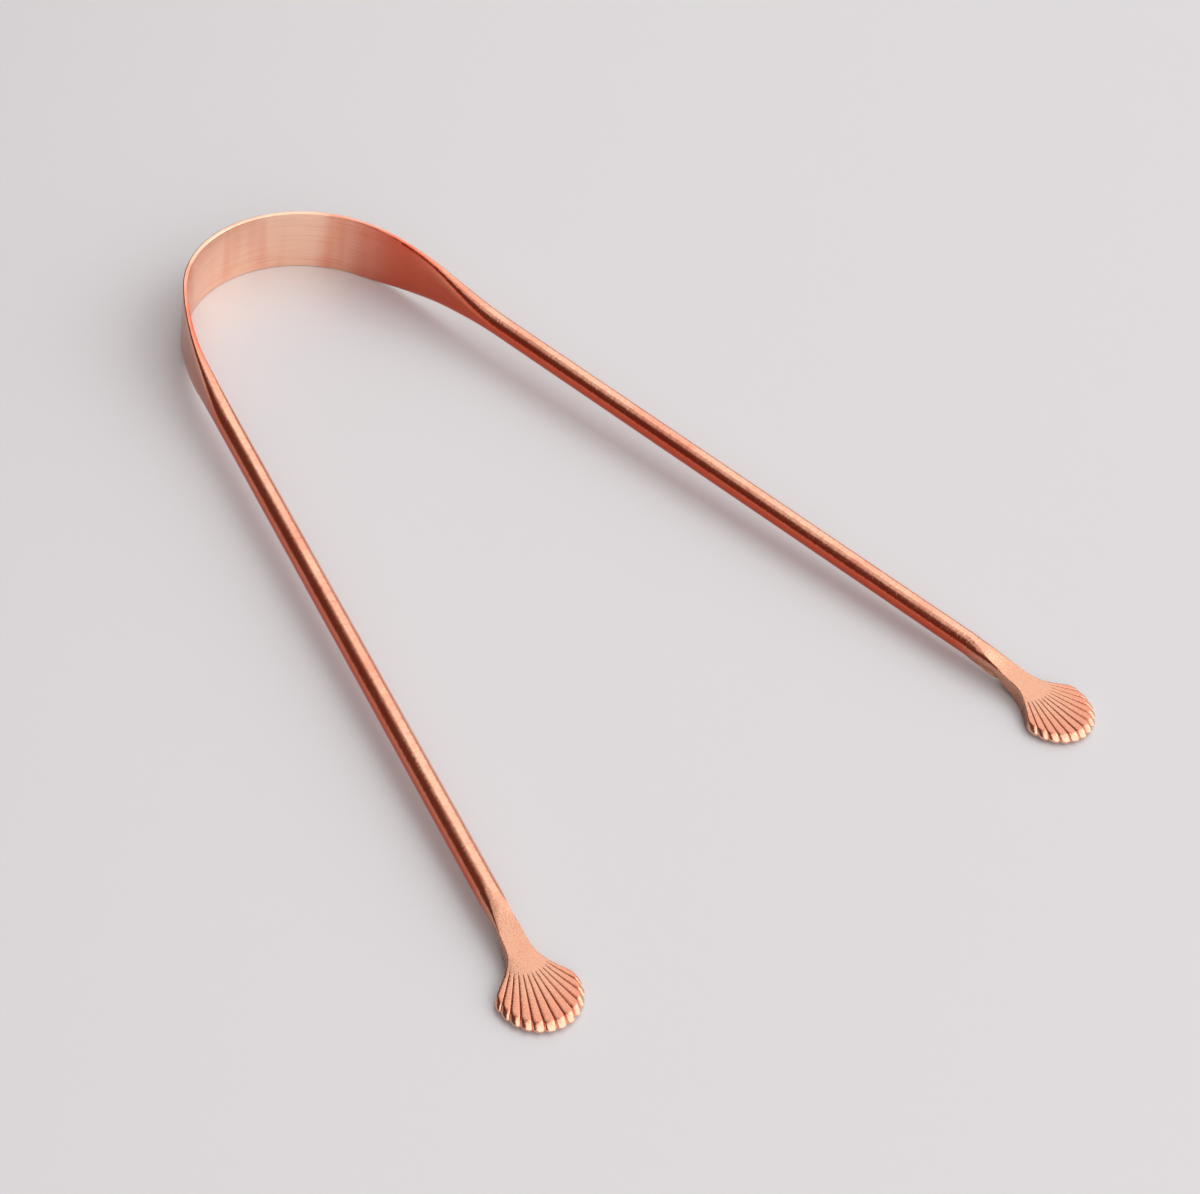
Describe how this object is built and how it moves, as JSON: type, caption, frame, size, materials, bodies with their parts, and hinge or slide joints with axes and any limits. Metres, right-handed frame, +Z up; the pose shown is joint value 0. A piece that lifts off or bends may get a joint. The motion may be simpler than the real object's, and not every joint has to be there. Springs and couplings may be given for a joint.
{
  "type": "tongue scraper",
  "caption": "Copper tongue scraper: a thin sprung band bent into a bow, drawn out into round arms that end in flattened, fluted scallop shell grips.",
  "frame": {"origin": "on the table, half way along the scraper and half way between its arms", "axes": "+Y runs along the scraper from the shell grips to the bow, +Z up from the table, +X from the left arm to the right arm"},
  "size_m": [0.1026, 0.144, 0.0103],
  "materials": {
    "copper": "satin brushed copper"
  },
  "bodies": {
    "bow": {"scraping_bow": "copper"},
    "left_arm": {"left_arm": "copper", "left_shell_grip": "copper"},
    "right_arm": {"right_arm": "copper", "right_shell_grip": "copper"}
  },
  "joints": [
    {"name": "left_arm_flex", "type": "hinge", "parent": "bow", "child": "left_arm", "pos_m": [-0.01603, 0.06272, 0.00515], "axis": [0, 0, -1], "range_deg": [-8, 5], "stiffness_Nm_per_rad": 1.45},
    {"name": "right_arm_flex", "type": "hinge", "parent": "bow", "child": "right_arm", "pos_m": [0.01603, 0.06272, 0.00515], "axis": [0, 0, 1], "range_deg": [-8, 5], "stiffness_Nm_per_rad": 1.45}
  ]
}
